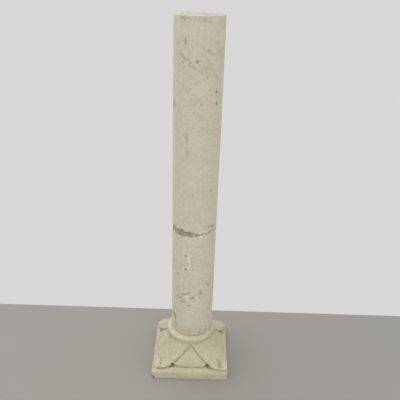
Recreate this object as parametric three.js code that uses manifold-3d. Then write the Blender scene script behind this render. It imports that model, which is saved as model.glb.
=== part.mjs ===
// Plain round column on a square base, cast in three pieces that stand on each other:
// a base whose four corner leaves run down from a round ring, a lower drum and an upper drum.
// Millimetres, +Z up, origin at the middle of the plinth's underside, front face towards -Y.

import * as THREE from "three";
import { mergeVertices } from "three/addons/utils/BufferGeometryUtils.js";
import Module from "manifold-3d";

const wasm = await Module();
wasm.setup();

// Overall sizes
const TOTAL_HEIGHT = 1350;
const SHAFT_DIAMETER = 164;
const LOWER_DRUM_HEIGHT = 460;
const BED_GAP = 0.3;
const ARRIS = 2.5;

// Plinth
const PLINTH_WIDTH = 305;
const PLINTH_HEIGHT = 44;
const PLINTH_CORNER = 14;
const PLINTH_ROUND = 14;
const PLINTH_ARRIS = 1.5;

// Block of leaves and tongues between the plinth and the ring
const BLOCK_HEIGHT = 82;
const NECK_PROJECTION = 8;
const LIP_HEIGHT = 13;
const TIP_LIP_HEIGHT = 6;
const LEAF_INSET = 10.5;
const GAP_HALF_SPACING = 70;
const GAP_INSET = 22.5;
const TONGUE_INSET = 14.5;
const TONGUE_SINK = 3;
const LEAF_EDGE_ROUND = 3;
const VEIN_DEPTH = 3.5;
const VEIN_WIDTH = 9;
const APEX_OVERLAP = 0.03;
const NECK_ROUNDNESS = 2.1;
const LIP_ROUNDNESS = 1.5;
const GAP = { wide: 29, tall: 16, deep: 30, sunk: 2, off: 3 };

// Ring under the shaft, and how far ring and shaft were cast off the plinth's middle
const RING_THICKNESS = 32.8;
const RING_PROJECTION = 15.4;
const RING_OFFSET = -1.8;
const SHAFT_OFFSET = 2;

// Facets
const ROUND_SIDES = 72;
const CORNER_STEPS = 4;
const ROUND_STEPS = 4;
const RING_STEPS = 9;
const LEAF_COLUMNS = 20;
const TONGUE_COLUMNS = 10;
const BLOCK_ROWS = 9;
const LUMP_UNEVENNESS = 0.16;

const shaftRadius = SHAFT_DIAMETER / 2;
const halfWidth = PLINTH_WIDTH / 2;
const blockTop = PLINTH_HEIGHT + BLOCK_HEIGHT;
const bedHeight = blockTop + RING_THICKNESS;
const jointHeight = bedHeight + BED_GAP + LOWER_DRUM_HEIGHT;
const neckRadius = shaftRadius + NECK_PROJECTION;
const lipHeight = PLINTH_HEIGHT + LIP_HEIGHT;
const blockFoot = PLINTH_HEIGHT - PLINTH_ROUND;
const quarterTurn = Math.PI / 2;
const { lerp, smoothstep, clamp, degToRad } = THREE.MathUtils;

// Keeps only the positions of a geometry and merges the points that faces share.
function sharedPoints(geometry) {
  geometry.deleteAttribute("normal");
  geometry.deleteAttribute("uv");
  return mergeVertices(geometry, 1e-4);
}

// A closed geometry becomes a solid that can be joined and cut.
function toSolid(geometry) {
  const merged = sharedPoints(geometry);
  return new wasm.Manifold(new wasm.Mesh({
    numProp: 3,
    vertProperties: new Float32Array(merged.attributes.position.array),
    triVerts: new Uint32Array(merged.index.array),
  }));
}

function toGeometry(solid) {
  const mesh = solid.getMesh();
  const geometry = new THREE.BufferGeometry();
  geometry.setAttribute("position", new THREE.BufferAttribute(mesh.vertProperties, 3));
  geometry.setIndex(new THREE.BufferAttribute(mesh.triVerts, 1));
  geometry.computeVertexNormals();
  return geometry;
}

// A solid of revolution from [radius, height] pairs that run from its axis, up, and back to it; the
// axis stands off the plinth's middle.
function turned(profile, offset) {
  const points = profile.map(([radius, height]) => new THREE.Vector2(radius, height));
  const geometry = new THREE.LatheGeometry(points, ROUND_SIDES);
  geometry.rotateX(quarterTurn);
  geometry.translate(offset, 0, 0);
  return toSolid(geometry);
}

// Points of a round from one angle to another, in a plane whose first axis points away from the axis.
function arc(centreRadius, centreHeight, radius, from, to, steps) {
  return Array.from({ length: steps + 1 }, (_, i) => {
    const angle = lerp(from, to, i / steps);
    return [centreRadius + radius * Math.cos(angle), centreHeight + radius * Math.sin(angle)];
  });
}

// Rows of points run from top to bottom and each row anticlockwise; the patch they make is closed
// towards the column's axis, so the solid is a slice of the block.
function slice(rows) {
  const columns = rows[0].length;
  const last = rows.length - 1;
  const positions = rows.flat().flatMap((point) => point.toArray());
  const top = rows[0][0].z;
  const bottom = rows[last][0].z;
  rows.forEach((_, i) => {
    const height = lerp(top, bottom, i / last);
    positions.push(underShaft(height), 0, height);
  });
  const outer = (i, j) => i * columns + j;
  const axis = (i) => rows.length * columns + i;
  const faces = [];
  const quad = (a, b, c, d) => faces.push(a, b, c, a, c, d);
  for (let i = 0; i < last; i++) {
    for (let j = 0; j < columns - 1; j++) {
      quad(outer(i, j), outer(i + 1, j), outer(i + 1, j + 1), outer(i, j + 1));
    }
    quad(outer(i + 1, 0), outer(i, 0), axis(i), axis(i + 1));
    quad(outer(i, columns - 1), outer(i + 1, columns - 1), axis(i + 1), axis(i));
  }
  for (let j = 0; j < columns - 1; j++) {
    faces.push(outer(0, j), outer(0, j + 1), axis(0));
    faces.push(outer(last, j + 1), outer(last, j), axis(last));
  }
  const geometry = new THREE.BufferGeometry();
  geometry.setAttribute("position", new THREE.Float32BufferAttribute(positions, 3));
  geometry.setIndex(faces);
  return toSolid(geometry);
}

// How far the axis of the block leans off the plinth's middle at a height.
function underShaft(height) {
  return SHAFT_OFFSET * clamp((height - PLINTH_HEIGHT) / BLOCK_HEIGHT, 0, 1);
}

// A point at a distance from the axis and an angle from the front face's middle line.
function polar(radius, angle, height) {
  return new THREE.Vector3(underShaft(height) + radius * Math.sin(angle), -radius * Math.cos(angle), height);
}

// The line where a leaf meets a tongue, in plan and height: from the apex under the ring to the gap.
const neckToGap = (share) => lerp(neckRadius, halfWidth - GAP_INSET, share);
const apexToLip = (share) => lerp(blockTop, lipHeight, share);
const leafEdge = new THREE.CubicBezierCurve3(
  new THREE.Vector3(0, neckToGap(0.18), apexToLip(0)),
  new THREE.Vector3(GAP_HALF_SPACING * 0.2, neckToGap(0.38), apexToLip(0.28)),
  new THREE.Vector3(GAP_HALF_SPACING * 0.49, neckToGap(0.73), apexToLip(0.64)),
  new THREE.Vector3(GAP_HALF_SPACING, neckToGap(1), apexToLip(1)),
);

// The back of a leaf, along the diagonal: distance from the axis and height.
const leafTip = (halfWidth - LEAF_INSET) * Math.SQRT2;
const neckToTip = (share) => lerp(neckRadius, leafTip, share);
const apexToTip = (share) => lerp(blockTop, PLINTH_HEIGHT + TIP_LIP_HEIGHT, share);
const leafBack = new THREE.CubicBezierCurve(
  new THREE.Vector2(neckToTip(0.07), apexToTip(0)),
  new THREE.Vector2(neckToTip(0.15), apexToTip(0.32)),
  new THREE.Vector2(neckToTip(0.63), apexToTip(0.7)),
  new THREE.Vector2(neckToTip(1), apexToTip(1)),
);

// The middle line of a tongue: distance from the axis and height.
const neckToTongue = (share) => lerp(neckRadius, halfWidth - TONGUE_INSET, share);
const tongueMiddle = new THREE.CubicBezierCurve(
  new THREE.Vector2(neckToTongue(0.1), apexToLip(0)),
  new THREE.Vector2(neckToTongue(0.34), apexToLip(0.29)),
  new THREE.Vector2(neckToTongue(0.77), apexToLip(0.62)),
  new THREE.Vector2(neckToTongue(1), apexToLip(1)),
);

// Below its lip a leaf or tongue turns under and goes down into the plinth: how far each row stands
// out from the lip, and its share of the way down to the plinth.
const LIP_ROWS = [
  { out: 1.2, down: 0.35 },
  { out: 0, down: 0.7 },
  { out: -3.5, down: 0.95 },
];

const rowShares = Array.from({ length: BLOCK_ROWS + 1 }, (_, i) => i / BLOCK_ROWS);

// Shares across a leaf from edge to edge, closer together at the rounded edges.
const leafShares = Array.from({ length: LEAF_COLUMNS + 1 }, (_, j) => {
  return Math.sin(quarterTurn * (2 * j / LEAF_COLUMNS - 1));
});

// One row across a leaf. Above the apex neighbouring leaves run into each other.
function leafRow(down) {
  const edge = leafEdge.getPoint(down);
  const back = leafBack.getPoint(down);
  const edgeRadius = Math.hypot(edge.x, edge.y);
  const nearApex = 1 - smoothstep(down, 0, 1 / BLOCK_ROWS);
  const halfAngle = quarterTurn / 2 - Math.atan2(edge.x, edge.y) + APEX_OVERLAP * nearApex;
  const roundness = lerp(NECK_ROUNDNESS, LIP_ROUNDNESS, down);
  const round = LEAF_EDGE_ROUND * smoothstep(down, 0, 0.15);
  const veinDepth = VEIN_DEPTH * smoothstep(down, 0.6, 0.85);
  return leafShares.map((across) => {
    const bulge = 1 - Math.abs(across) ** roundness;
    const fromEdge = (1 - Math.abs(across)) * halfAngle * edgeRadius;
    const inRound = Math.max(0, 1 - fromEdge / LEAF_EDGE_ROUND);
    const fromBack = across * halfAngle * back.x;
    const vein = veinDepth * Math.exp(-((fromBack / VEIN_WIDTH) ** 2));
    return {
      radius: lerp(edgeRadius, back.x, bulge) - round * (1 - Math.sqrt(1 - inRound ** 2)),
      angle: quarterTurn / 2 + across * halfAngle,
      height: lerp(edge.z, back.y, bulge) - vein,
    };
  });
}

// One row across a tongue, with a strip at either side that is hidden under the leaves.
function tongueRow(down) {
  const edge = leafEdge.getPoint(down);
  const middle = tongueMiddle.getPoint(down);
  const edgeRadius = Math.hypot(edge.x, edge.y) - TONGUE_SINK;
  const edgeAngle = Math.atan2(edge.x, edge.y);
  const row = Array.from({ length: TONGUE_COLUMNS + 1 }, (_, j) => {
    const across = 2 * j / TONGUE_COLUMNS - 1;
    return {
      radius: lerp(middle.x, edgeRadius, across ** 2),
      angle: across * edgeAngle,
      height: lerp(middle.y, edge.z, across ** 2),
    };
  });
  const hidden = (side) => ({
    radius: edgeRadius - TONGUE_SINK,
    angle: side * (edgeAngle + 2 * TONGUE_SINK / edgeRadius),
    height: edge.z,
  });
  return [hidden(-1), ...row, hidden(1)];
}

// Adds the turned-under lip to rows that run down from the apex, the start of the neck above them
// and the foot inside the plinth, then moves the upper end under the shaft.
function blockSlice(rows, side) {
  const lip = rows[rows.length - 1];
  const neck = rows[0].map((point) => {
    return { ...point, radius: shaftRadius + 2, height: blockTop + RING_THICKNESS / 8 };
  });
  const turnedUnder = LIP_ROWS.map(({ out, down }) => lip.map(({ radius, angle, height }) => {
    return { radius: radius + out, angle, height: lerp(height, PLINTH_HEIGHT, down) };
  }));
  const foot = turnedUnder[turnedUnder.length - 1].map((point) => ({ ...point, height: blockFoot }));
  const placed = [neck, ...rows, ...turnedUnder, foot];
  return slice(placed.map((row) => row.map(({ radius, angle, height }) => {
    return polar(radius, angle + side * quarterTurn, height);
  })));
}

function plinth() {
  const roundedSquare = (inset) => {
    const half = halfWidth - inset;
    const corner = Math.max(PLINTH_CORNER - inset, 1);
    const middle = new THREE.Vector2();
    return [0, 1, 2, 3].flatMap((side) => {
      const turn = side * quarterTurn;
      const centre = new THREE.Vector2(half - corner, half - corner).rotateAround(middle, turn);
      return arc(centre.x, centre.y, corner, turn, turn + quarterTurn, CORNER_STEPS);
    });
  };
  const levels = [
    { inset: PLINTH_ARRIS, height: 0 },
    { inset: 0, height: PLINTH_ARRIS },
    ...arc(0, 0, PLINTH_ROUND, 0, quarterTurn, ROUND_STEPS).map(([out, up]) => {
      return { inset: PLINTH_ROUND - out, height: PLINTH_HEIGHT - PLINTH_ROUND + up };
    }),
  ];
  const positions = [];
  const faces = [];
  const around = 4 * (CORNER_STEPS + 1);
  for (const { inset, height } of levels) {
    roundedSquare(inset).forEach(([x, y]) => positions.push(x, y, height));
  }
  const last = levels.length - 1;
  for (let i = 0; i < last; i++) {
    for (let j = 0; j < around; j++) {
      const next = (j + 1) % around;
      const [a, b] = [i * around + j, i * around + next];
      faces.push(a, b, b + around, a, b + around, a + around);
    }
  }
  for (let j = 1; j < around - 1; j++) {
    faces.push(0, j + 1, j);
    faces.push(last * around, last * around + j, last * around + j + 1);
  }
  const geometry = new THREE.BufferGeometry();
  geometry.setAttribute("position", new THREE.Float32BufferAttribute(positions, 3));
  geometry.setIndex(faces);
  return toSolid(geometry);
}

// The round core of the base and the ring of half an oval that the shaft stands on.
function coreAndRing() {
  const ring = arc(0, 0, 1, -quarterTurn, quarterTurn, RING_STEPS).map(([out, up]) => {
    return [shaftRadius + RING_PROJECTION * out, blockTop + RING_THICKNESS * (1 + up) / 2];
  });
  return turned([
    [0, blockFoot],
    [neckRadius - 4, blockFoot],
    [shaftRadius - 1, blockTop],
    ...ring,
    [0, bedHeight],
  ], RING_OFFSET);
}

// An irregular lump whose shape depends on its seed; cutting one out leaves a chip or a small hole.
function lump({ at, size, seed, turn = 0 }) {
  const geometry = sharedPoints(new THREE.IcosahedronGeometry(0.5, 1));
  const position = geometry.attributes.position;
  for (let i = 0; i < position.count; i++) {
    const uneven = 1 + LUMP_UNEVENNESS * Math.sin(12.9898 * (i + 1) + 78.233 * seed);
    position.setXYZ(
      i,
      position.getX(i) * size[0] * uneven,
      position.getY(i) * size[1] * uneven,
      position.getZ(i) * size[2] * uneven,
    );
  }
  geometry.rotateZ(turn);
  geometry.translate(...at);
  return toSolid(geometry);
}

// A chip on the round shaft: how far round from the front, how high, how wide, how tall and how deep.
function shaftChip({ angle, height, wide, tall, deep, seed }) {
  const at = polar(shaftRadius, angle, height);
  return lump({ at: at.toArray(), size: [wide, 2 * deep, tall], seed, turn: angle });
}

// The open joint between the drums has lost stone on the front left.
const JOINT_CHIPS = [-74, -60, -45, -31, -17, -4, 40, 150, 215].map((angle, i) => ({
  angle: degToRad(angle),
  height: jointHeight + 3 * Math.sin(2.2 * i),
  wide: 24 + 4 * Math.sin(3.1 * i),
  tall: i < 6 ? 19 + 3 * Math.cos(1.7 * i) : 9,
  deep: i < 6 ? 5 : 3,
  seed: i,
}));

// The left side has spalled where the shaft meets the ring.
const FOOT_CHIPS = [
  { angle: degToRad(-64), height: bedHeight + 42, wide: 13, tall: 36, deep: 4, seed: 21 },
  { angle: degToRad(-57), height: bedHeight + 9, wide: 14, tall: 30, deep: 4, seed: 22 },
];

const TOP_CHIPS = [
  { angle: degToRad(-76), height: TOTAL_HEIGHT, wide: 20, tall: 12, deep: 4, seed: 31 },
  { angle: degToRad(-22), height: TOTAL_HEIGHT, wide: 22, tall: 7, deep: 4, seed: 32 },
];

// The front left corner has lost stone under the plinth and off the side half of its leaf; how far in
// from the left and front faces each loss lies, and how high.
const BASE_CHIPS = [
  { in: [3, 3], height: 1, size: [22, 16, 18], seed: 41 },
  { in: [12, 44], height: lipHeight + 15, size: [34, 82, 38], seed: 42 },
].map((chip) => ({ ...chip, at: [chip.in[0] - halfWidth, chip.in[1] - halfWidth, chip.height] }));

// The small deep gap at a lower corner of a tongue, where leaf, tongue and plinth meet: a tunnel with
// three sides, whose flat side lies just inside the plinth.
function gap(side, hand) {
  const geometry = new THREE.CylinderGeometry(1, 1, GAP.deep, 3);
  geometry.scale(GAP.wide / Math.sqrt(3), 1, GAP.tall / 1.5);
  geometry.translate(
    hand * (GAP_HALF_SPACING + GAP.off),
    GAP_INSET - halfWidth,
    PLINTH_HEIGHT - GAP.sunk + GAP.tall / 3,
  );
  geometry.rotateZ(side * quarterTurn);
  return toSolid(geometry);
}

function drum(foot, head, chips) {
  const blank = turned([
    [0, foot],
    [shaftRadius - ARRIS, foot],
    [shaftRadius, foot + ARRIS],
    [shaftRadius, head - ARRIS],
    [shaftRadius - ARRIS, head],
    [0, head],
  ], SHAFT_OFFSET);
  return toGeometry(chips.map(shaftChip).reduce((solid, chip) => solid.subtract(chip), blank));
}

function base() {
  const leaf = rowShares.map(leafRow);
  const tongue = rowShares.map(tongueRow);
  let block = coreAndRing();
  for (let side = 0; side < 4; side++) {
    block = block.add(blockSlice(leaf, side)).add(blockSlice(tongue, side));
  }
  for (let side = 0; side < 4; side++) {
    block = block.subtract(gap(side, -1)).subtract(gap(side, 1));
  }
  return toGeometry(BASE_CHIPS.map(lump).reduce((left, chip) => left.subtract(chip), plinth().add(block)));
}

function stone(color) {
  return new THREE.MeshStandardMaterial({ color, roughness: 0.92, metalness: 0 });
}

const castStone = stone("#b7b094");
const column = new THREE.Group();

function addPiece(name, geometry, material) {
  const mesh = new THREE.Mesh(geometry, material);
  mesh.name = name;
  column.add(mesh);
}

addPiece("base", base(), castStone);
addPiece("lower_drum", drum(bedHeight + BED_GAP, jointHeight, JOINT_CHIPS.concat(FOOT_CHIPS)), castStone);
addPiece("upper_drum", drum(jointHeight + BED_GAP, TOTAL_HEIGHT, JOINT_CHIPS.concat(TOP_CHIPS)), castStone);

export default column;
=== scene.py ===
import math

import bmesh
import bpy
import numpy as np
from mathutils import Matrix, Vector, kdtree, noise


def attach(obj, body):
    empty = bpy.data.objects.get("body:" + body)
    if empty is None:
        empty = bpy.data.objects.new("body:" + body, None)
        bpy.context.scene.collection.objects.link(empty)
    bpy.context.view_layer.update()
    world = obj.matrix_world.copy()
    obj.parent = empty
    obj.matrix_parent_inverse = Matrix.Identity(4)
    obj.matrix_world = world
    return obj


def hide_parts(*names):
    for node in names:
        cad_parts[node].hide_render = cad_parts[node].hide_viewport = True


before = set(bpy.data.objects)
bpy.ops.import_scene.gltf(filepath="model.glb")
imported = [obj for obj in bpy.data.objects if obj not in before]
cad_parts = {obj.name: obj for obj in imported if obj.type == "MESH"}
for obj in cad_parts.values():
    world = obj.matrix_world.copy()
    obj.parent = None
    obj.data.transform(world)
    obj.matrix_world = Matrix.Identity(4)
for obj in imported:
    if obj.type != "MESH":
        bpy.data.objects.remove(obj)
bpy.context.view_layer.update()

# Sizes in millimetres
SCALE = 0.001
TOTAL_HEIGHT = 1350
SHAFT_RADIUS = 82
SHAFT_OFFSET = 2
JOINT_HEIGHT = 619.1
BED_HEIGHT = 158.8
BED_GAP = 0.3
HALF_WIDTH = 152.5
PLINTH_HEIGHT = 44
PLINTH_ROUND = 14
PLINTH_CORNER = 14
BLOCK_TOP = 126
BLOCK_FOOT = 30
NECK_RADIUS = 90
LIP_HEIGHT = 57
TIP_HEIGHT = 50
TONGUE_REACH = 138
TONGUE_SINK = 3
EDGE_ROUND = 3
VEIN_DEPTH = 3.5
VEIN_WIDTH = 9
RING_THICKNESS = 32.8
RING_PROJECTION = 15.4
RING_OFFSET = -1.8

# The gaps beside the tongues' feet: where they lie and how large they are
GAP_HALF_SPACING = 70
GAP_DISTANCE = 130
GAP = {"wide": 33, "tall": 11, "deep": 30, "lift": 2.5, "off": 1.5}

# Distance of the leaf tips from the axis, anticlockwise from the front right
TIP_REACHES = [reach * math.sqrt(2) for reach in (146, 142, 142, 141)]

# The plinth's upper edge goes from a round at 0 to a bevel at 1
BEVEL_SHARE = 0.55

# A lip on its way down to the plinth: shares of its height, and how far it stands out at each
LIP_SHARES = 0, 0.35, 0.7, 0.95
LIP_BULGE = 0, 1.2, 0, -3.5

# The middle of what is broken off the front left leaf
BROKEN_LEAF = 12 - HALF_WIDTH, 44 - HALF_WIDTH, LIP_HEIGHT + 15

# The small pits all over the stone
PIT_SIZES = 1.6, 4.2
PIT_DEPTHS = 0.4, 1.3
BASE_PITS = 260
DRUM_PITS = 220

# How far the noise moves from one seed to the next, how far outward a patch reaches beyond half its size,
# and how many rounds of averaging find the hollows
SEED_SHIFT = 17.31
PATCH_DEPTH = 12
AVERAGING_ROUNDS = 12

# How finely the surfaces are divided
BASE_VOXEL = 1.63
SLICE_ROWS = 60
LEAF_COLUMNS = 90
TONGUE_COLUMNS = 60
DRUM_SPACING = 2.2
TURNED_SIDES = 288

# The drums' rims, and the distance between the rings of their faces
RIM = 2.5
OPEN_FACE_SPACING = 3.0
HIDDEN_FACE_SPACING = 30.0


def lerp(a, b, share):
    return a + (b - a) * share


def fade(value, start, end):
    """Goes smoothly from 0 at start to 1 at end."""
    share = np.clip((value - start) / (end - start), 0, 1)
    return share * share * (3 - 2 * share)


def mottle(points, size, seed):
    """Smooth noise from -1 to 1 whose patches are about size across."""
    shifted = points / size + SEED_SHIFT * seed
    return np.array([noise.noise(point) for point in shifted.tolist()])


def polar(radius, angle, height):
    """A point at a distance from the axis, which shifts to the shaft's, and an angle from the front."""
    lean = SHAFT_OFFSET * np.clip((height - PLINTH_HEIGHT) / (BLOCK_TOP - PLINTH_HEIGHT), 0, 1)
    return np.stack([lean + radius * np.sin(angle), -radius * np.cos(angle), height + 0 * angle], axis=-1)


def about_axis(turn):
    """Turns the points it is multiplied by about the vertical axis."""
    return np.array([[math.cos(turn), math.sin(turn), 0], [-math.sin(turn), math.cos(turn), 0], [0, 0, 1]])


def seen_from(points, turn):
    """How far points lie across and outward, for someone who stands a turn away from the front."""
    across = points[:, 0] * math.cos(turn) + points[:, 1] * math.sin(turn)
    outward = points[:, 0] * math.sin(turn) - points[:, 1] * math.cos(turn)
    return across, outward


def new_object(name, points, faces):
    mesh = bpy.data.meshes.new(name)
    mesh.from_pydata((np.asarray(points) * SCALE).tolist(), [], faces)
    mesh.update()
    item = bpy.data.objects.new(name, mesh)
    bpy.context.scene.collection.objects.link(item)
    return item


def grid_faces(rows, columns, closed=False):
    across = np.arange(columns if closed else columns - 1)
    upper = np.arange(rows - 1)[:, None] * columns
    left, right = upper + across, upper + (across + 1) % columns
    return np.stack([left, left + columns, right + columns, right], axis=-1).reshape(-1, 4).tolist()


def bezier(points, share):
    a, b, c, d = np.array(points, float)
    share = np.asarray(share, float)[:, None]
    rest = 1 - share
    return rest ** 3 * a + 3 * rest ** 2 * share * b + 3 * rest * share ** 2 * c + share ** 3 * d


# The base


def leaf_edge(share):
    """The line where a leaf meets a tongue: across, outward and up."""
    return bezier([
        (0, lerp(NECK_RADIUS, GAP_DISTANCE, 0.18), BLOCK_TOP),
        (GAP_HALF_SPACING * 0.2, lerp(NECK_RADIUS, GAP_DISTANCE, 0.38), lerp(BLOCK_TOP, LIP_HEIGHT, 0.28)),
        (GAP_HALF_SPACING * 0.49, lerp(NECK_RADIUS, GAP_DISTANCE, 0.73), lerp(BLOCK_TOP, LIP_HEIGHT, 0.64)),
        (GAP_HALF_SPACING, GAP_DISTANCE, LIP_HEIGHT),
    ], share)


def leaf_rows(reach):
    """A leaf whose tip lies a distance from the axis: radius, angle and height of rows from top to lip."""
    down = np.linspace(0, 1, SLICE_ROWS)
    across = np.sin(np.linspace(-1, 1, LEAF_COLUMNS) * math.pi / 2)
    edge = leaf_edge(down)
    back = bezier([
        (lerp(NECK_RADIUS, reach, 0.07), BLOCK_TOP),
        (lerp(NECK_RADIUS, reach, 0.15), lerp(BLOCK_TOP, TIP_HEIGHT, 0.32)),
        (lerp(NECK_RADIUS, reach, 0.63), lerp(BLOCK_TOP, TIP_HEIGHT, 0.7)),
        (reach, TIP_HEIGHT),
    ], down)
    edge_radius = np.hypot(edge[:, 0], edge[:, 1])[:, None]
    overlap = 0.03 * (1 - fade(down, 0, 1 / 9))
    half_angle = (math.pi / 4 - np.arctan2(edge[:, 0], edge[:, 1]) + overlap)[:, None]
    bulge = 1 - np.abs(across) ** lerp(2.1, 1.5, down)[:, None]
    in_round = np.clip(1 - (1 - np.abs(across)) * half_angle * edge_radius / EDGE_ROUND, 0, 1)
    rounding = EDGE_ROUND * fade(down, 0, 0.15)[:, None] * (1 - np.sqrt(1 - in_round ** 2))
    from_back = across * half_angle * back[:, :1]
    vein = VEIN_DEPTH * fade(down, 0.6, 0.85)[:, None] * np.exp(-(from_back / VEIN_WIDTH) ** 2)
    radius = lerp(edge_radius, back[:, :1], bulge) - rounding
    return radius, math.pi / 4 + across * half_angle, lerp(edge[:, 2:], back[:, 1:], bulge) - vein


def tongue_rows():
    """A tongue, in rows like a leaf's; its sides run on under the leaves beside it."""
    down = np.linspace(0, 1, SLICE_ROWS)
    across = np.linspace(-1, 1, TONGUE_COLUMNS)
    edge = leaf_edge(down)
    middle = bezier([
        (lerp(NECK_RADIUS, TONGUE_REACH, 0.1), BLOCK_TOP),
        (lerp(NECK_RADIUS, TONGUE_REACH, 0.34), lerp(BLOCK_TOP, LIP_HEIGHT, 0.29)),
        (lerp(NECK_RADIUS, TONGUE_REACH, 0.77), lerp(BLOCK_TOP, LIP_HEIGHT, 0.62)),
        (TONGUE_REACH, LIP_HEIGHT),
    ], down)
    edge_radius = np.hypot(edge[:, 0], edge[:, 1])[:, None] - TONGUE_SINK
    edge_angle = np.arctan2(edge[:, 0], edge[:, 1])[:, None]
    radius = lerp(middle[:, :1], edge_radius, across ** 2)
    angle = across * edge_angle
    height = lerp(middle[:, 1:], edge[:, 2:], across ** 2)
    hidden = 2 * TONGUE_SINK / edge_radius
    return (
        np.hstack([edge_radius - TONGUE_SINK, radius, edge_radius - TONGUE_SINK]),
        np.hstack([-edge_angle - hidden, angle, edge_angle + hidden]),
        np.hstack([edge[:, 2:], height, edge[:, 2:]]),
    )


def block_slice(rows, side):
    """A closed slice of the block, from a patch of its outer surface; its head lies inside the ring."""
    radius, angle, height = rows
    down = np.linspace(0, LIP_SHARES[-1], 9)[1:, None]
    out = np.interp(down, LIP_SHARES, LIP_BULGE)
    lip = lerp(height[-1], PLINTH_HEIGHT, down)
    head, foot = 0 * height[:1] + BLOCK_TOP + RING_THICKNESS / 8, 0 * height[:1] + BLOCK_FOOT
    radius = np.vstack([0 * radius[:1] + SHAFT_RADIUS + 2, radius, radius[-1] + out, radius[-1:] + out[-1]])
    angle = np.vstack([angle[:1], angle, np.repeat(angle[-1:], len(down) + 1, axis=0)])
    height = np.vstack([head, height, lip, foot])
    points = polar(radius, angle + side * math.pi / 2, height)

    count, columns = height.shape
    levels = np.linspace(height[0, 0], BLOCK_FOOT, count)
    axis = polar(0 * levels, 0 * levels, levels)
    last = (count - 1) * columns
    core = count * columns + np.arange(count)
    faces = grid_faces(count, columns)
    for i in range(count - 1):
        left, right = i * columns, (i + 1) * columns - 1
        faces.append([left + columns, left, core[i], core[i + 1]])
        faces.append([right, right + columns, core[i + 1], core[i]])
    for j in range(columns - 1):
        faces.append([j, j + 1, core[0]])
        faces.append([last + j + 1, last + j, core[-1]])
    return np.vstack([points.reshape(-1, 3), axis]), faces


def plinth():
    """The plinth, whose upper edge lies between a round and a bevel."""
    turns = np.linspace(0, math.pi / 2, 13)
    levels = [(0, 0)]
    for turn in turns:
        bevel = turn / (math.pi / 2)
        inset = PLINTH_ROUND * lerp(1 - math.cos(turn), bevel, BEVEL_SHARE)
        drop = PLINTH_ROUND * lerp(1 - math.sin(turn), 1 - bevel, BEVEL_SHARE)
        levels.append((inset, PLINTH_HEIGHT - drop))
    points = []
    for inset, height in levels:
        corner = max(PLINTH_CORNER - inset, 1)
        reach = HALF_WIDTH - inset - corner
        for side in range(4):
            turn = side * math.pi / 2
            middle = np.array([reach, reach]) @ about_axis(turn)[:2, :2]
            points += [
                (middle[0] + corner * math.cos(turn + t), middle[1] + corner * math.sin(turn + t), height)
                for t in turns
            ]
    around = 4 * len(turns)
    faces = [face[::-1] for face in grid_faces(len(levels), around, closed=True)]
    faces += [list(range(around))[::-1], list(range(len(points) - around, len(points)))]
    return np.array(points), faces


def turned(profile, offset):
    """A solid of revolution from [radius, height] pairs that run down from its axis and back to it."""
    radius, height = (column[:, None] for column in np.array(profile, float).T)
    angles = np.arange(TURNED_SIDES) * 2 * math.pi / TURNED_SIDES
    across, outward = radius * np.sin(angles), radius * np.cos(angles)
    points = np.stack([offset + across, -outward, height + 0 * angles], axis=-1)
    return points.reshape(-1, 3), grid_faces(len(profile), TURNED_SIDES, closed=True)


def core_and_ring():
    """The ring, with a core under it that stays inside the leaves and tongues."""
    bend = np.linspace(math.pi / 2, -math.pi / 2, 25)
    ring = [
        (SHAFT_RADIUS + RING_PROJECTION * math.cos(b), BLOCK_TOP + RING_THICKNESS * (1 + math.sin(b)) / 2)
        for b in bend
    ]
    core = (SHAFT_RADIUS - 1, BLOCK_TOP), (NECK_RADIUS - 4, BLOCK_FOOT), (0, BLOCK_FOOT)
    return turned([(0, BED_HEIGHT), *ring, *core], RING_OFFSET)


def joined(name, solids):
    points, faces, first = [], [], 0
    for solid_points, solid_faces in solids:
        points.append(solid_points)
        faces += [[first + corner for corner in face] for face in solid_faces]
        first += len(solid_points)
    return new_object(name, np.vstack(points), faces)


def lump(at, size, seed):
    """An uneven closed lump; cutting it out leaves a broken place."""
    ball = bmesh.new()
    bmesh.ops.create_icosphere(ball, subdivisions=4, radius=0.5)
    points = np.array([vertex.co for vertex in ball.verts])
    faces = [[vertex.index for vertex in face.verts] for face in ball.faces]
    ball.free()
    uneven = 1 + 0.22 * mottle(points, 0.45, seed) + 0.1 * mottle(points, 0.16, seed + 3)
    return points * uneven[:, None] * size + at, faces


def gap(side, hand):
    """The uneven three-sided gap at a lower corner of a tongue, a closed tunnel into the block."""
    low = PLINTH_HEIGHT + GAP["lift"]
    foot, far_foot, head = (-GAP["wide"] / 2, low), (GAP["wide"] / 2, low), (0, low + GAP["tall"])
    corners = np.array([foot, far_foot, head, foot])
    around = np.linspace(0, 3, 37)[:-1]
    outline = np.stack([np.interp(around, range(4), corners[:, i]) for i in (0, 1)], axis=1)
    levels = np.linspace(-GAP["deep"] / 2, GAP["deep"] / 2, 16)
    points = np.array([(across, level, up) for level in levels for across, up in outline])
    points += 1.1 * np.stack([mottle(points, 7, 60 + 10 * side + hand + axis) for axis in range(3)], axis=1)
    points[:, 0] += hand * (GAP_HALF_SPACING + GAP["off"])
    points[:, 1] -= GAP_DISTANCE
    faces = [face[::-1] for face in grid_faces(len(levels), len(around), closed=True)]
    faces += [list(range(len(around))), list(range(len(points) - len(around), len(points)))[::-1]]
    return points @ about_axis(side * math.pi / 2), faces


def base_losses():
    """What is missing from the base: broken stone at its front left corner."""
    return joined("losses", [
        lump((3 - HALF_WIDTH, 2 - HALF_WIDTH, 1), (24, 14, 18), 41),
        lump(BROKEN_LEAF, (34, 82, 38), 42),
    ])


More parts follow.
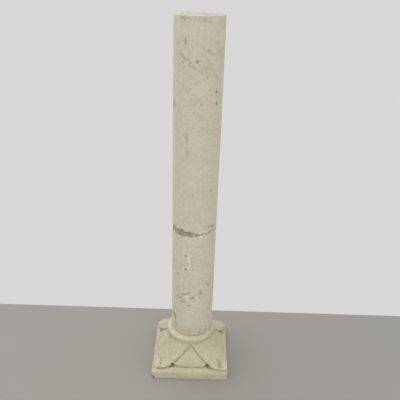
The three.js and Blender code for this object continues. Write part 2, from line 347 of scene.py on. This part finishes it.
def modified(item, *steps):
    """Applies modifiers to an object's mesh, each given as its kind and its settings."""
    for kind, settings in steps:
        modifier = item.modifiers.new(kind, kind)
        for key, value in settings.items():
            setattr(modifier, key, value)
    evaluated = item.evaluated_get(bpy.context.evaluated_depsgraph_get())
    mesh = bpy.data.meshes.new_from_object(evaluated)
    item.modifiers.clear()
    item.data = mesh
    return item


def cut(item, tool):
    """Cuts one object out of another, both made of even voxels first."""
    voxels = ("REMESH", {"mode": "VOXEL", "voxel_size": BASE_VOXEL * SCALE})
    less = ("BOOLEAN", {"operation": "DIFFERENCE", "solver": "MANIFOLD", "object": tool})
    modified(tool, voxels)
    modified(item, voxels, less, voxels)
    bpy.data.objects.remove(tool)


def block():
    """The ring, leaves and tongues, as closed points and faces."""
    solids = [core_and_ring()]
    for side, reach in enumerate(TIP_REACHES):
        solids += [block_slice(leaf_rows(reach), side), block_slice(tongue_rows(), side)]
    item = joined("block", solids)
    cut(item, joined("gaps", [gap(side, hand) for side in range(4) for hand in (-1, 1)]))
    points, _ = surface(item)
    faces = [list(face.vertices) for face in item.data.polygons]
    bpy.data.objects.remove(item)
    return points, faces


def base_blank():
    """The base as cast, with its losses cut out."""
    blank = joined("column_base", [plinth(), block()])
    cut(blank, base_losses())
    return modified(blank, ("SMOOTH", {"factor": 0.5, "iterations": 3}))


def surface(item):
    """Points in millimetres and outward normals."""
    mesh = item.data
    points = np.empty(3 * len(mesh.vertices), np.float32)
    normals = np.empty(3 * len(mesh.vertices), np.float32)
    mesh.vertices.foreach_get("co", points)
    mesh.vertex_normals.foreach_get("vector", normals)
    return points.reshape(-1, 3).astype(float) / SCALE, normals.reshape(-1, 3).astype(float)


def set_surface(item, points):
    item.data.vertices.foreach_set("co", (points * SCALE).astype(np.float32).ravel())
    item.data.update()


def record_mark(item, name, amount):
    """Keeps a value from 0 to 1 at each point, which the stone's material reads."""
    mark = item.data.attributes.new(name, "FLOAT", "POINT")
    mark.data.foreach_set("value", np.clip(amount, 0, 1).astype(np.float32))


def patch(points, at, turn, wide, tall, seed, lean=0.0):
    """How far inside an uneven oval that faces outward each point lies: 1 in the middle, 0 outside."""
    offset = points - at
    across, outward = seen_from(offset, turn)
    up = offset[:, 2] - lean * across
    near = np.abs(outward) < PATCH_DEPTH + max(wide, tall) / 2
    inside = np.flatnonzero((np.abs(across) < wide) & (np.abs(up) < tall) & near)
    result = np.zeros(len(points))
    if len(inside):
        share = np.hypot(across[inside] / (wide / 2), up[inside] / (tall / 2))
        share += 0.3 * mottle(points[inside], max(min(wide, tall) / 2, 4), seed)
        result[inside] = np.clip(1 - share, 0, 1)
    return result


def broad_wear(points):
    """Unevenness of an old cast surface, always inward."""
    wear = 0.5 + 0.45 * mottle(points, 75, 1) + 0.3 * mottle(points, 24, 2) + 0.16 * mottle(points, 9, 3)
    return np.clip(wear + 0.1 * mottle(points, 4, 4), 0, None)


def random_pits(points, spots, seed):
    """Small holes scattered over a surface; spots are points on it."""
    rng = np.random.default_rng(seed)
    depth = np.zeros(len(points))
    for spot in spots:
        size, deep = rng.uniform(*PIT_SIZES), rng.uniform(*PIT_DEPTHS)
        away = np.linalg.norm(points - spot, axis=1)
        inside = np.flatnonzero(away < 2 * size)
        share = away[inside] / size + 0.35 * mottle(points[inside], size, seed)
        depth[inside] = np.maximum(depth[inside], deep * (1 - fade(share, 0.35, 1)))
    return depth


def nearness(points, lines, width):
    """How close each point lies to any of the lines: 1 on one, 0 away from them."""
    spots = np.vstack(lines)
    tree = kdtree.KDTree(len(spots))
    for i, spot in enumerate(spots.tolist()):
        tree.insert(spot, i)
    tree.balance()
    away = np.array([tree.find(point)[2] for point in points.tolist()])
    return np.exp(-(away / width) ** 2)


# Lines through these corners: a crack and a dent worn into the front leaves, and a band down the front right
# leaf where a highlight is painted
CRACK = [(-129, -88, 69), (-123.5, -103, 71), (-117, -120, 66.4), (-117, -135, 60), (-119, -146, 52.5)]
DENT = [(117.8, -119, 67), (118.3, -139, 58)]
RIDGE_HIGHLIGHT = [(135.6, -92, 66), (136.8, -124, 57), (135.6, -143, 49.5)]

# How deep each kind of line on the base is, and how much painted shade darkens it
LINE_DEPTHS = {"groove": 3, "crease": 2.2, "crack": 2.2, "dent": 2.6, "chipped": 1.5}
LINE_SHADE = {"groove": 0.45, "crease": 1.1, "crack": 0.6, "dent": 0.8, "chipped": 0.5}


def line_through(corners):
    """Close points along a line through corners."""
    corners = np.array(corners, float)
    share = np.linspace(0, len(corners) - 1, 120)
    return np.stack([np.interp(share, range(len(corners)), column) for column in corners.T], axis=1)


def grooves(points):
    """The lines where leaves and tongues meet."""
    line = leaf_edge(np.linspace(0, 1, 160))
    radius, away = np.hypot(line[:, 0], line[:, 1]) - 1, np.arctan2(line[:, 0], line[:, 1])
    lines = [
        polar(radius, side * math.pi / 2 + hand * away, line[:, 2])
        for side in range(4) for hand in (-1, 1)
    ]
    return nearness(points, lines, 3.4 + 0.8 * mottle(points, 22, 31))


def creases(points):
    """The lines where the lips of leaves and tongues stand on the plinth."""
    lines = []
    for side, reach in enumerate(TIP_REACHES):
        for radius, angle, _ in (leaf_rows(reach), tongue_rows()):
            lines.append(polar(radius[-1] - 3.5, angle[-1] + side * math.pi / 2, PLINTH_HEIGHT + 0.5))
    return nearness(points, lines, 3.3 + 0.9 * mottle(points, 15, 32))


def leaf_marks(points):
    """A crack by the broken half of the front left leaf; a dent in the front right one, and a band down that
    leaf where a highlight is painted.
    """
    crack = line_through(CRACK)
    crack += 1.2 * np.stack([mottle(crack, 9, 35 + axis) for axis in range(3)], axis=1)
    return {
        "crack": nearness(points, [crack], 2.6),
        "dent": nearness(points, [line_through(DENT)], 8),
        "ridge_highlight": nearness(points, [line_through(RIDGE_HIGHLIGHT)], 5),
    }


def lip_edges(points):
    """The upper edges of the leaves' lips, with a painted highlight in some places, and chipped in others."""
    lines = []
    for side, reach in enumerate(TIP_REACHES):
        radius, angle, height = leaf_rows(reach)
        lines.append(polar(radius[-1], angle[-1] + side * math.pi / 2, height[-1]))
    uneven = mottle(points, 10, 36) + 0.5 * mottle(points, 5, 37)
    return {
        "edge_highlight": nearness(points, lines, 5) * fade(uneven, -0.1, 0.3),
        "chipped": nearness(points, lines, 3.5) * fade(-uneven, 0.1, 0.5),
    }


def gap_shade(points):
    """Painted shade that darkens the gaps beside the tongues."""
    above = points[:, 2] - PLINTH_HEIGHT
    low = fade(above, 0.5, 3) * (1 - fade(above, 8, 17))
    amount = np.zeros(len(points))
    for side in range(4):
        across, outward = seen_from(points, side * math.pi / 2)
        off = np.abs(np.abs(across) - GAP_HALF_SPACING - GAP["off"]) / 15
        deep = fade(outward, GAP_DISTANCE + 4, GAP_DISTANCE - 4) * (outward > GAP_DISTANCE - 18)
        amount = np.maximum(amount, (1 - fade(off, 0.6, 1)) * deep * low)
    return amount


def hollowness(piece, points):
    """How hollow the surface is at each point, from the average of its neighbours; below 0 it stands out."""
    mesh = piece.data
    edges = np.empty(2 * len(mesh.edges), np.int32)
    mesh.edges.foreach_get("vertices", edges)
    first, second = edges.reshape(-1, 2).T
    count = np.bincount(np.concatenate([first, second]), minlength=len(points))[:, None]
    average = points.copy()
    for _ in range(AVERAGING_ROUNDS):
        total = np.zeros_like(average)
        np.add.at(total, first, average[second])
        np.add.at(total, second, average[first])
        average = total / np.maximum(count, 1)
    _, normals = surface(piece)
    return np.einsum("ij,ij->i", average - points, normals)


def worn_base(points, normals, depth):
    """The base's points moved inward, apart from its underside and the bed under the shaft."""
    hidden = (normals[:, 2] < -0.9) & (points[:, 2] < 3)
    bed = (normals[:, 2] > 0.9) & (points[:, 2] > BED_HEIGHT - 2)
    moved = points - normals * np.where(hidden | bed, 0, depth)[:, None]
    moved[:, :2] = np.clip(moved[:, :2], -HALF_WIDTH, HALF_WIDTH)
    moved[:, 2] = np.clip(moved[:, 2], 0, BED_HEIGHT)
    moved[hidden, 2] = 0
    return moved


def oval_distance(points, middle, half_sizes):
    """Distance from the middle of an oval body: 1 on its surface."""
    return np.linalg.norm((points - middle) / half_sizes, axis=1)


def mark_base(piece, points, pits, near):
    """Records where the base is broken and stained, where it is darkened, mostly with painted shade, and
    where it is pale with painted highlights.
    """
    leaf_loss = oval_distance(points, BROKEN_LEAF, (18, 42, 20))
    corner_loss = oval_distance(points, (3 - HALF_WIDTH, 3 - HALF_WIDTH, 1), (12, 9, 10))
    hollow = hollowness(piece, points)

    # Painted shade in the grooves, creases, crack, dent, chipped lips, hollows, gaps and the broken corner,
    # and a little darkening in the pits
    dirt_and_shade = [share * near[kind] for kind, share in LINE_SHADE.items()]
    dirt_and_shade += [0.6 * fade(hollow, 0.35, 2.2), 0.2 * pits, 0.9 * gap_shade(points)]
    dirt_and_shade.append(1 - fade(corner_loss, 1.02, 1.15))
    record_mark(piece, "dirt_and_shade", np.maximum.reduce(dirt_and_shade))
    broken = np.maximum(1 - fade(leaf_loss, 1.02, 1.2), 1 - fade(corner_loss, 1.02, 1.25))
    record_mark(piece, "broken", broken)

    left_leaf = fade(patch(points, (-98, -82, 92), -math.pi / 4, 130, 90, 39), 0, 0.5)
    record_mark(piece, "stain", 0.3 * left_leaf * (1 + 0.5 * mottle(points, 22, 40)))

    # Painted highlights: on the ring's upper part, on convex edges, on the lips' upper edges and in a band
    # down the front right leaf
    ring_highlight = 0.5 * fade(points[:, 2], BLOCK_TOP + 12, BED_HEIGHT - 6)
    ridge_highlight = near["ridge_highlight"] * np.clip(0.8 + 0.9 * mottle(points, 7, 38), 0, 1)
    edge_highlight = np.maximum.reduce([0.6 * fade(-hollow, 0.2, 0.9), 1.2 * near["edge_highlight"], 1.1 * ridge_highlight])
    record_mark(piece, "pale", np.maximum(ring_highlight, edge_highlight) * (1 + 0.7 * mottle(points, 30, 33)))


def dissolve_flat(piece):
    """Turns the flat underside and the bed under the shaft into single faces."""
    work = bmesh.new()
    work.from_mesh(piece.data)
    for low, high in ((-1, 0.02), (BED_HEIGHT - 0.02, BED_HEIGHT + 1)):
        flat = [
            face for face in work.faces
            if all(low * SCALE <= vertex.co.z <= high * SCALE for vertex in face.verts)
        ]
        if flat:
            bmesh.ops.dissolve_faces(work, faces=flat, use_verts=True)
    work.to_mesh(piece.data)
    work.free()


def base():
    """The weathered base."""
    piece = base_blank()
    points, normals = surface(piece)
    rng = np.random.default_rng(7)
    spots = points[rng.choice(len(points), BASE_PITS, replace=False)]
    pits = random_pits(points, spots, 8)
    near = {"groove": grooves(points), "crease": creases(points), **leaf_marks(points), **lip_edges(points)}
    depth = broad_wear(points) + pits
    for kind, deep in LINE_DEPTHS.items():
        depth += deep * near[kind]
    depth *= lerp(0.3, 1, fade(points[:, 2], 2, 14))
    set_surface(piece, worn_base(points, normals, depth))
    mark_base(piece, points, pits, near)
    dissolve_flat(piece)
    return piece


# The drums

# Holes and broken places in the shaft: degrees from the front, height above the ground, width, height, depth
PITS = [
    (46.5, 1244, 8, 8, 1.6), (56, 1250, 7, 7, 1.6), (-2, 1219, 11, 15, 2.4), (47.5, 1124, 9, 17, 2.6),
    (49.5, 1086, 9, 24, 2.6), (-19.5, 529, 13, 15, 1.2), (-19.8, 469, 12, 12, 3), (-26.3, 393, 8, 9, 2.2),
    (13, 1164, 6, 6, 1), (27.6, 1133, 7, 7, 1.2), (22.5, 363, 8, 16, 1), (46, 389, 8, 14, 1.6),
    (38, 624, 8, 7, 2), (22, 625, 12, 5, 2), (33, 612, 5, 14, 2), (26, 610, 8, 6, 1.6),
]
SPALLS = [
    (-60, 227, 27, 38, 4.5), (-51, 194, 13, 20, 3),
    (-66, TOTAL_HEIGHT, 26, 9, 3), (-35, TOTAL_HEIGHT, 22, 6, 2),
]

# Marks in the shaft's colour: the same, with a strength in place of the depth, and the slant last
STAINS = [
    (-29.5, 1275, 14, 26, 0.8, 0), (22, 1250, 16, 12, 0.8, 0), (46, 1272, 8, 30, 0.3, 0),
    (-25, 1217, 66, 24, 0.6, -0.85), (-35, 1213, 26, 14, 0.6, -0.85), (-67, 1079, 46, 36, 0.7, 0),
    (4, 1087, 56, 8, 0.6, 0.1), (-25, 979, 26, 46, 0.5, -0.6), (-21, 925, 26, 44, 0.45, -0.8),
    (21, 781, 20, 5, 0.8, 0), (41, 786, 24, 6, 0.8, -0.1), (-4.6, 775, 16, 10, 0.8, -0.4),
    (-3.5, 504, 10, 58, 0.8, 0), (-31, 329, 46, 28, 0.75, -0.45), (-18, 358, 50, 14, 0.75, 0.4),
    (2.6, 340, 30, 34, 0.75, -0.3), (21, 363, 24, 36, 0.45, 0.5), (47, 385, 12, 26, 0.6, 0),
    (-43, 437, 14, 18, 0.7, 0), (-52, 492, 10, 14, 0.8, 0), (-6, 306, 46, 9, 0.7, 0),
    (47, 634, 48, 44, 0.8, 0), (-76, 614, 26, 34, 0.7, 0), (52, 232, 22, 26, 0.4, 0),
    (-34, 470, 12, 30, 0.5, 0.4), (-34, 1339, 56, 20, 0.5, 0), (14, 1336, 70, 18, 0.3, 0),
]
PALE_MARKS = [
    (-39, 728, 16, 16, 0.6, 0), (28, 627, 46, 11, 1.7, 0), (22, 609, 52, 11, 1.7, 0),
    (-9.2, 505, 22, 84, 0.5, 0), (-72, 205, 18, 70, 0.9, 0), (47, 634, 24, 18, 0.6, 0),
    (-13.5, 343, 24, 34, 0.7, 0), (12, 345, 20, 30, 0.5, 0),
]


def shaft_patch(points, angle, height, wide, tall, seed, lean=0.0):
    turn = math.radians(angle)
    at = polar(SHAFT_RADIUS, np.array(turn), np.array(float(height)))
    return patch(points, at, turn, wide, tall, seed, lean)


def table_marks(points, table, first_seed, full):
    """The strongest of a table's marks at each point; each is whole where its patch reaches full."""
    total = np.zeros(len(points))
    for i, (angle, at, wide, tall, strength, *lean) in enumerate(table):
        amount = fade(shaft_patch(points, angle, at, wide, tall, first_seed + i, *lean), 0, full)
        total = np.maximum(total, strength * amount)
    return total


def joint_loss(points):
    """Depth of the broken stone along the open joint: a crumbled band on the front left, a nick elsewhere."""
    degrees = np.degrees(np.arctan2(points[:, 0] - SHAFT_OFFSET, -points[:, 1]))
    band = fade(degrees, -108, -92) * (1 - fade(degrees, 10, 22))
    broad = 3 * np.exp(-((degrees + 38) / 16) ** 2)
    uneven = 1 + 0.6 * mottle(points, 19, 61) + 0.6 * mottle(points, 9, 62) + 0.4 * mottle(points, 5, 66)
    half = (1.6 + band * (12 + broad - 4 * fade(degrees, -14, 4))) * uneven
    away = np.abs(points[:, 2] - JOINT_HEIGHT + 1.5 * band + 4 * band * mottle(points, 26, 63))
    deepest = 1 + band * (3.6 + 2.2 * mottle(points, 9, 64) + 1.6 * mottle(points, 4.5, 65))
    return deepest * (1 - fade(away / np.maximum(half, 1), 0.5, 1))


def broken_away(points):
    """Depth of the stone that has broken off the shaft."""
    spalls = joint_loss(points)
    for i, (angle, at, wide, tall, deep) in enumerate(SPALLS):
        rough = 0.8 + 0.3 * mottle(points, 7, 200 + i)
        amount = fade(shaft_patch(points, angle, at, wide, tall, 150 + i), 0, 0.3)
        spalls = np.maximum(spalls, deep * rough * amount)
    return spalls


def slanting_streaks(points):
    """Faint streaks that run down to the right over the front of the upper shaft."""
    turn, height = np.arctan2(points[:, 0] - SHAFT_OFFSET, -points[:, 1]), points[:, 2]
    around = SHAFT_RADIUS * turn
    down, across = 0.76 * around - 0.65 * height, 0.65 * around + 0.76 * height
    streaks = mottle(np.stack([0.22 * down, across, 0 * down], axis=1), 10, 82)
    front = (1 - fade(np.abs(turn), 1, 1.7)) * fade(height, 940, 1060) * (1 - fade(height, 1240, 1300))
    return fade(streaks, 0, 0.5) * front


def drum_profile(foot, head, open_top):
    """Rows of radius, height and the slope of the surface, from the head's middle down to the foot's."""
    spacing = OPEN_FACE_SPACING if open_top else HIDDEN_FACE_SPACING
    inner = SHAFT_RADIUS - RIM
    rows = [(radius, head, math.pi / 2) for radius in np.arange(inner, 4, -spacing)[::-1]]
    bends = np.linspace(math.pi / 2, 0, 6)
    rows += [(inner + RIM * math.cos(b), head - RIM + RIM * math.sin(b), b) for b in bends[1:]]
    count = round((head - foot - 2 * RIM) / DRUM_SPACING)
    rows += [(SHAFT_RADIUS, lerp(head - RIM, foot + RIM, i / count), 0) for i in range(1, count)]
    rows += [(inner + RIM * math.cos(b), foot + RIM - RIM * math.sin(b), -b) for b in bends[::-1]]
    rows += [(radius, foot, -math.pi / 2) for radius in (SHAFT_RADIUS - 30, 6)]
    return np.array(rows)


def drum_grid(foot, head, open_top):
    """Points, normals and slopes of a drum that isn't worn, row by row, and the number of points in a row."""
    rows = drum_profile(foot, head, open_top)
    columns = round(2 * math.pi * SHAFT_RADIUS / DRUM_SPACING)
    angles = np.arange(columns) * 2 * math.pi / columns
    radius, height, slope = (column[:, None] + 0 * angles for column in rows.T)
    points = polar(radius, 0 * radius + angles, height).reshape(-1, 3)
    slope = slope.ravel()
    spin = np.tile(angles, len(rows))
    normals = np.stack([np.cos(slope) * np.sin(spin), -np.cos(slope) * np.cos(spin), np.sin(slope)], axis=1)
    return points, normals, slope, columns


def drum_faces(count, columns):
    """Faces between rows of points, with the middles of the head and the foot as two points after them."""
    head, foot = count, count + 1
    last = count - columns
    faces = grid_faces(count // columns, columns, closed=True)
    for j in range(columns):
        following = (j + 1) % columns
        faces += [[j, following, head], [last + following, last + j, foot]]
    return faces


def drum_marks(points, slope, rim, small, pits, spalls, open_top):
    """Where a drum is dirty, broken, stained, pale and dusty."""
    joint_dirt = fade(joint_loss(points), 0.7, 2.6) * (0.68 + 0.3 * mottle(points, 9, 67))
    foot_dirt = 0.75 * fade(spalls, 1.5, 3) * (points[:, 2] < 300)
    streaks = mottle(points / (1, 1, 0.2), 26, 81)
    # Darker towards the foot of the lower drum, in upright streaks
    foot_darkening = 0.7 * (1 - fade(points[:, 2], BED_HEIGHT + 8, BED_HEIGHT + 60)) * np.clip(0.5 + streaks, 0, 1)
    stains = table_marks(points, STAINS, 300, 0.5)
    upper_rim = open_top * (slope > 0)
    uneven = np.clip(0.9 + 0.25 * mottle(points, 30, 83) + 0.2 * mottle(points, 9, 84), 0, 1)
    return {
        "dirt_and_shade": np.maximum.reduce([pits / 1.6, 0.2 * small, joint_dirt, foot_dirt]),
        "broken": fade(spalls, 0.8, 2.5),
        "stain": np.maximum.reduce([stains, foot_darkening, 0.3 * slanting_streaks(points)]),
        "pale": np.maximum(table_marks(points, PALE_MARKS, 400, 0.5), 0.7 * rim * upper_rim),
        "dust": fade(slope, 1, 1.5) * upper_rim * uneven,
    }


def drum(name, foot, head, open_top, seed):
    """A weathered drum between two heights, whose head shows where its top is open."""
    points, normals, slope, columns = drum_grid(foot, head, open_top)
    rng = np.random.default_rng(seed)
    side = np.flatnonzero(slope == 0)
    small = random_pits(points, points[rng.choice(side, DRUM_PITS)], seed)
    pits, spalls = table_marks(points, PITS, 100, 0.6), broken_away(points)
    crumbs = fade(spalls, 0.5, 2) * (0.9 * mottle(points, 8, 71) + 0.6 * mottle(points, 5, 72))
    rim = np.clip(1 - np.abs(np.abs(slope) - math.pi / 4) / (math.pi / 4), 0, 1)
    worn_rim = rim * np.clip(1.1 + 1.4 * mottle(points, 16, 73) + 0.8 * mottle(points, 6, 74), 0, None)
    depth = broad_wear(points) + np.maximum(small, pits) + spalls + np.clip(crumbs, -1, None) + worn_rim
    bed = np.abs(slope) > 1.5
    if open_top:
        bed &= points[:, 2] < head - 1
    depth[bed] = 0
    moved = points - normals * np.clip(depth, 0, None)[:, None]
    middles = [(SHAFT_OFFSET, 0, head - 0.5 * open_top), (SHAFT_OFFSET, 0, foot)]
    piece = new_object(name, np.vstack([moved, middles]), drum_faces(len(points), columns))
    for kind, amount in drum_marks(points, slope, rim, small, pits, spalls, open_top).items():
        record_mark(piece, kind, np.concatenate([amount, [kind == "dust" and open_top, 0]]))
    return piece


# Materials

SHAFT_COLOURS = (0.645, 0.61, 0.475, 1), (0.615, 0.58, 0.45, 1), (0.46, 0.42, 0.31, 1), (0.8, 0.775, 0.665, 1)
BASE_COLOURS = (0.565, 0.517, 0.37, 1), (0.53, 0.482, 0.34, 1), (0.41, 0.363, 0.24, 1), (0.74, 0.69, 0.537, 1)
RAW_STONE = (0.5, 0.44, 0.33, 1), (0.66, 0.61, 0.48, 1)
STAIN = 0.3, 0.26, 0.19, 1
DUST = 0.36, 0.345, 0.315, 1
# Colour of dirt, and of painted shade in the base's grooves, creases, hollows and gaps
DIRT_AND_SHADE = 0.23, 0.19, 0.11, 1
FLOOR_COLOURS = (0.328, 0.317, 0.289, 1), (0.343, 0.332, 0.303, 1)


def add(tree, kind, inputs=(), **settings):
    """Adds a node; each input is a number, a colour or another node's output."""
    node = tree.nodes.new(kind)
    for key, value in settings.items():
        setattr(node, key, value)
    for key, value in dict(inputs).items():
        if isinstance(value, bpy.types.NodeSocket):
            tree.links.new(value, node.inputs[key])
        else:
            node.inputs[key].default_value = value
    return node


def noise_at(tree, place, scale, detail, roughness=0.6):
    values = {"Vector": place, "Scale": scale, "Detail": detail, "Roughness": roughness}
    return add(tree, "ShaderNodeTexNoise", values).outputs["Fac"]


def between(tree, value, low, high, top=1.0):
    """Goes from 0 at low to top at high."""
    values = {"Value": value, "From Min": low, "From Max": high, "To Max": top}
    return add(tree, "ShaderNodeMapRange", values, interpolation_type="SMOOTHSTEP").outputs["Result"]


def ramp(tree, value, at_0, at_1):
    """A number that goes evenly from one end to the other as a value goes from 0 to 1."""
    values = {"Value": value, "To Min": at_0, "To Max": at_1}
    return add(tree, "ShaderNodeMapRange", values).outputs["Result"]


def times(tree, a, b):
    return add(tree, "ShaderNodeMath", {0: a, 1: b}, operation="MULTIPLY").outputs[0]


def mixed(tree, share, a, b):
    """A colour that goes from a to b."""
    return add(tree, "ShaderNodeMix", {0: share, 6: a, 7: b}, data_type="RGBA").outputs[2]


def painted(tree, name):
    """A mark that the mesh records at its points."""
    return add(tree, "ShaderNodeAttribute", attribute_name=name).outputs["Fac"]


def new_material(name):
    material = bpy.data.materials.new(name)
    material.use_nodes = True
    tree = material.node_tree
    place = add(tree, "ShaderNodeTexCoord").outputs["Object"]
    return material, tree, tree.nodes["Principled BSDF"], place


def stone_colour(tree, place, clouds, bloom, grain, colours, speckle):
    """Light and dark stone under soiled clouds, a pale bloom, speckles and grain."""
    light, dark, soiled, pale = colours
    colour = mixed(tree, between(tree, noise_at(tree, place, 11, 5), 0.35, 0.65), dark, light)
    colour = mixed(tree, between(tree, clouds, 0.5, 0.68, 0.5), colour, soiled)
    colour = mixed(tree, between(tree, bloom, 0.53, 0.7, 0.4), colour, pale)
    spots = noise_at(tree, place, 115, 3, 0.65)
    colour = mixed(tree, between(tree, spots, 0.52, 0.68, speckle), colour, soiled)
    colour = mixed(tree, between(tree, spots, 0.47, 0.33, speckle), colour, pale)
    return mixed(tree, between(tree, grain, 0.55, 0.72, 0.4), colour, soiled)


def marked(tree, place, clouds, bloom, colour, pale):
    """A colour with the recorded marks laid over it one by one, each broken up by noise."""
    patchy = between(tree, noise_at(tree, place, 90, 6, 0.7), 0.4, 0.58)
    # The pale layer also lays painted highlights, and the last layer painted shade as well as dirt
    layers = [
        ("stain", patchy, STAIN),
        ("pale", between(tree, clouds, 0.4, 0.55), pale),
        ("broken", 0.8, mixed(tree, patchy, *RAW_STONE)),
        ("dust", between(tree, bloom, 0.75, 0.4, 0.95), DUST),
        ("dirt_and_shade", between(tree, noise_at(tree, place, 160, 5, 0.7), 0.25, 0.6), DIRT_AND_SHADE),
    ]
    for mark, share, over in layers:
        colour = mixed(tree, times(tree, painted(tree, mark), share), colour, over)
    return colour


def cast_stone(name, colours, speckle):
    """Old pale cast stone: mottled, stained, darkened in its hollows and creases by grime and painted shade,
    with raw broken places and painted highlights on some edges.
    """
    material, tree, shader, place = new_material(name)
    clouds = noise_at(tree, place, 60, 8, 0.75)
    bloom = noise_at(tree, place, 38, 8, 0.75)
    grain = noise_at(tree, place, 300, 4)
    colour = stone_colour(tree, place, clouds, bloom, grain, colours, speckle)
    colour = marked(tree, place, clouds, bloom, colour, colours[-1])
    crumbs = add(tree, "ShaderNodeBump", {"Height": clouds, "Strength": 0.35, "Distance": 0.0012})
    fine = add(tree, "ShaderNodeBump", {
        "Height": grain, "Strength": 0.5, "Distance": 0.0004, "Normal": crumbs.outputs["Normal"],
    })
    tree.links.new(colour, shader.inputs["Base Color"])
    tree.links.new(ramp(tree, painted(tree, "dust"), 0.25, 0), shader.inputs["Specular IOR Level"])
    tree.links.new(ramp(tree, clouds, 0.8, 0.97), shader.inputs["Roughness"])
    tree.links.new(fine.outputs["Normal"], shader.inputs["Normal"])
    return material


def floor_material():
    material, tree, shader, place = new_material("floor_paper")
    tree.links.new(mixed(tree, noise_at(tree, place, 3, 2), *FLOOR_COLOURS), shader.inputs["Base Color"])
    shader.inputs["Roughness"].default_value = 0.9
    return material


# The studio: the floor and the sensor in millimetres, the rest in metres and radians

FLOOR_REACH = 3000
FLOOR_BACK = 281
CAMERA_AT = 0.0177, -1.5177, 1.4309
CAMERA_PAN = 0.0015
CAMERA_PITCH = 0.438
CAMERA_ROLL = 0.032
SENSOR_WIDTH = 36
FOCAL_SHARE = 461 / 400
LIGHT_TARGET = 0, 0, 0.6


def floor():
    corners = [
        (-FLOOR_REACH, -FLOOR_REACH, 0), (FLOOR_REACH, -FLOOR_REACH, 0),
        (FLOOR_REACH, FLOOR_BACK, 0), (-FLOOR_REACH, FLOOR_BACK, 0),
    ]
    sheet = new_object("floor", corners, [[0, 1, 2, 3]])
    sheet.data.materials.append(floor_material())


def light(name, at, size, watts):
    lamp = bpy.data.lights.new(name, "AREA")
    lamp.shape = "DISK"
    lamp.size = size
    lamp.energy = watts
    item = bpy.data.objects.new(name, lamp)
    item.location = at
    item.rotation_euler = (Vector(LIGHT_TARGET) - Vector(at)).to_track_quat("-Z", "Y").to_euler()
    bpy.context.scene.collection.objects.link(item)


def surroundings(brightness):
    world = bpy.data.worlds.new("studio")
    world.use_nodes = True
    background = world.node_tree.nodes["Background"]
    background.inputs["Color"].default_value = (1, 1, 1, 1)
    background.inputs["Strength"].default_value = brightness
    bpy.context.scene.world = world


def camera():
    pan, pitch, roll = CAMERA_PAN, CAMERA_PITCH, CAMERA_ROLL
    forward = Vector((math.sin(pan) * math.cos(pitch), math.cos(pan) * math.cos(pitch), -math.sin(pitch)))
    level = Vector((math.cos(pan), -math.sin(pan), 0))
    upright = level.cross(forward)
    right = level * math.cos(roll) + upright * math.sin(roll)
    up = upright * math.cos(roll) - level * math.sin(roll)
    data = bpy.data.cameras.new("camera")
    data.sensor_width = SENSOR_WIDTH
    data.lens = FOCAL_SHARE * SENSOR_WIDTH
    item = bpy.data.objects.new("camera", data)
    axes = Matrix((right, up, -forward)).transposed().to_4x4()
    item.matrix_world = Matrix.Translation(CAMERA_AT) @ axes
    bpy.context.scene.collection.objects.link(item)
    bpy.context.scene.camera = item


def dress(piece, node, material):
    """Puts a material on a piece, which takes the place of a node."""
    piece.data.materials.clear()
    piece.data.materials.append(material)
    piece.data.polygons.foreach_set("use_smooth", [True] * len(piece.data.polygons))
    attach(piece, "root")
    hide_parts(node)


upper_stone = cast_stone("upper_stone", SHAFT_COLOURS, speckle=0.2)
lower_stone = cast_stone("lower_stone", SHAFT_COLOURS, speckle=0.3)
base_stone = cast_stone("base_stone", BASE_COLOURS, speckle=0.28)

dress(base(), "base", base_stone)
dress(drum("column_lower_drum", BED_HEIGHT + BED_GAP, JOINT_HEIGHT, False, 11), "lower_drum", lower_stone)
dress(drum("column_upper_drum", JOINT_HEIGHT + BED_GAP, TOTAL_HEIGHT, True, 12), "upper_drum", upper_stone)

floor()
surroundings(brightness=0.68)
light("left", (-1.9, -2.2, 0.65), size=1.6, watts=15.5)
light("right", (1.9, -2.2, 0.65), size=1.6, watts=16.5)
light("overhead", (-0.5, 0.4, 3.3), size=1.8, watts=38)
camera()
bpy.context.scene.view_settings.view_transform = "Standard"
